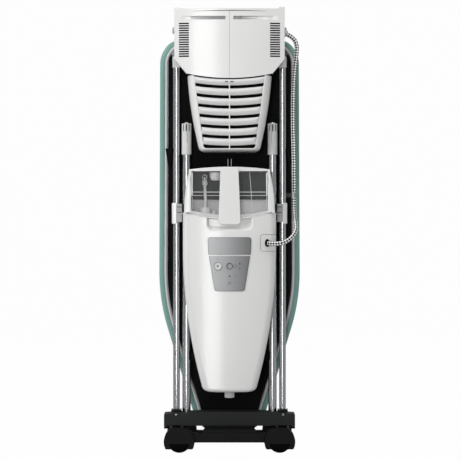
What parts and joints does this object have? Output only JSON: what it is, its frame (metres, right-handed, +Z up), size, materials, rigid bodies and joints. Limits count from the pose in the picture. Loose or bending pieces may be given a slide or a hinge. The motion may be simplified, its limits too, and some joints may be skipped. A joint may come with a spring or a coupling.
{
  "type": "vacuum ironing table",
  "caption": "Folding vacuum ironing table on wheels, standing folded, with a suction fan, a steam generator with a water tank and hose, and a hooded rest that holds the iron.",
  "frame": {"origin": "on the floor, at the centre of the wheeled base", "axes": "+X to the right seen from the underside of the board, +Y from the underside to the ironing surface, +Z up to the heel of the board with the iron rest"},
  "size_m": [0.4292, 0.3031, 1.311],
  "materials": {
    "cover_fabric": "woven heat-proof cover, grey-green",
    "hem_fabric": "drawn felt hem, pale pinkish grey",
    "pad_felt": "thick felt",
    "deck_steel": "perforated sheet, satin",
    "black_shell": "satin black",
    "white_shell": "semi-gloss white",
    "clear_tank": "clear",
    "light_grey": "satin light grey",
    "dark_grey": "satin dark grey",
    "near_black": "satin near black",
    "leg_chrome": "polished",
    "pin_steel": "turned",
    "bracket_metal": "satin grey",
    "panel_silver": "brushed silver",
    "boiler_steel": "drawn",
    "motor_metal": "satin",
    "hose_braid": "black and white checked braid",
    "mat_rubber": "matt heat-proof mat",
    "sole_metal": "satin",
    "wheel_rubber": "matt",
    "pad_rubber": "matt"
  },
  "bodies": {
    "leg_frame": {"outer_leg_left": "leg_chrome", "outer_leg_right": "leg_chrome", "leg_blocks": "white_shell", "pivot_blocks": "light_grey", "pivot_covers": "white_shell", "pivot_pins": "pin_steel", "base_front": "near_black", "base_rear": "near_black", "side_rail_left": "dark_grey", "side_rail_right": "dark_grey", "hose_clip": "black_shell", "hose_bend": "hose_braid", "hose_rise": "hose_braid"},
    "board": {"board_deck": "deck_steel", "vacuum_tray": "black_shell", "board_pad": "pad_felt", "board_cover": "cover_fabric", "cover_hem": "hem_fabric", "rest_housing": "white_shell", "rest_mat": "mat_rubber", "fan_housing": "white_shell", "fan_motor": "motor_metal", "board_hooks": "black_shell", "rod_racks": "black_shell", "hinge_brackets": "bracket_metal", "hinge_pins": "pin_steel", "hose_end": "hose_braid", "rest_gland": "black_shell", "iron_soleplate": "sole_metal", "iron_body": "white_shell"},
    "inner_frame": {"inner_leg_left": "leg_chrome", "inner_leg_right": "leg_chrome", "leg_sleeves": "light_grey", "foot_bar": "dark_grey", "foot_clips": "black_shell", "foot_pads": "pad_rubber", "cradle_bars": "bracket_metal", "generator_shell": "white_shell", "generator_back": "white_shell", "boiler": "boiler_steel", "pump": "motor_metal", "hose_outlet": "black_shell", "panel_plates": "panel_silver", "switch_board": "dark_grey", "hose_start": "hose_braid"},
    "water_tank": {"tank_shell": "clear_tank", "tank_frame": "white_shell", "suction_filter": "light_grey"},
    "hood": {"iron_hood": "white_shell"},
    "fan": {"fan_wheel": "black_shell"},
    "handle_button": {"iron_button": "light_grey"},
    "rod_left": {"leg_rod_left": "leg_chrome"},
    "rod_right": {"leg_rod_right": "leg_chrome"},
    "power_key": {"power_button": "panel_silver"},
    "steam_key": {"steam_button": "light_grey"},
    "drain": {"drain_cap": "light_grey"},
    "wheel_fl": {"wheel_front_left": "wheel_rubber"},
    "wheel_fr": {"wheel_front_right": "wheel_rubber"},
    "wheel_rl": {"wheel_rear_left": "wheel_rubber"},
    "wheel_rr": {"wheel_rear_right": "wheel_rubber"}
  },
  "joints": [
    {"name": "board_fold", "type": "hinge", "parent": "leg_frame", "child": "board", "pos_m": [0, -0.022, 1.162], "axis": [1, 0, 0], "range_deg": [0, 50]},
    {"name": "leg_fold", "type": "hinge", "parent": "leg_frame", "child": "inner_frame", "pos_m": [0, -0.022, 0.703], "axis": [-1, 0, 0], "range_deg": [0, 60]},
    {"name": "hood_hinge", "type": "hinge", "parent": "board", "child": "hood", "pos_m": [0, 0.02, 1.256], "axis": [1, 0, 0], "range_deg": [0, 85]},
    {"name": "fan_spin", "type": "hinge", "parent": "board", "child": "fan", "pos_m": [0, 0, 0.99], "axis": [0, 1, 0], "continuous": true},
    {"name": "rod_slide_left", "type": "slide", "parent": "inner_frame", "child": "rod_left", "axis": [0, 0, 1], "range_m": [0, 0.142]},
    {"name": "rod_slide_right", "type": "slide", "parent": "inner_frame", "child": "rod_right", "axis": [0, 0, 1], "range_m": [0, 0.142]},
    {"name": "tank_slide", "type": "slide", "parent": "inner_frame", "child": "water_tank", "axis": [0, -1, 0], "range_m": [0, 0.06]},
    {"name": "power_press", "type": "slide", "parent": "inner_frame", "child": "power_key", "axis": [0, 1, 0], "range_m": [0, 0.0015], "stiffness_N_per_m": 400},
    {"name": "steam_press", "type": "slide", "parent": "inner_frame", "child": "steam_key", "axis": [0, 1, 0], "range_m": [0, 0.0015], "stiffness_N_per_m": 400},
    {"name": "handle_press", "type": "slide", "parent": "board", "child": "handle_button", "axis": [0, -1, 0], "range_m": [0, 0.0015], "stiffness_N_per_m": 400},
    {"name": "drain_turn", "type": "hinge", "parent": "inner_frame", "child": "drain", "pos_m": [0, -0.084, 0.17], "axis": [0, 0, 1], "range_deg": [0, 90]},
    {"name": "wheel_spin_fl", "type": "hinge", "parent": "leg_frame", "child": "wheel_fl", "pos_m": [-0.147, -0.118, 0.0335], "axis": [0, 1, 0], "continuous": true},
    {"name": "wheel_spin_fr", "type": "hinge", "parent": "leg_frame", "child": "wheel_fr", "pos_m": [0.147, -0.118, 0.0335], "axis": [0, 1, 0], "continuous": true},
    {"name": "wheel_spin_rl", "type": "hinge", "parent": "leg_frame", "child": "wheel_rl", "pos_m": [-0.147, 0.118, 0.0335], "axis": [0, 1, 0], "continuous": true},
    {"name": "wheel_spin_rr", "type": "hinge", "parent": "leg_frame", "child": "wheel_rr", "pos_m": [0.147, 0.118, 0.0335], "axis": [0, 1, 0], "continuous": true}
  ],
  "couplings": [
    {"joint": "leg_fold", "follows": "board_fold", "ratio": 1.1974}
  ]
}
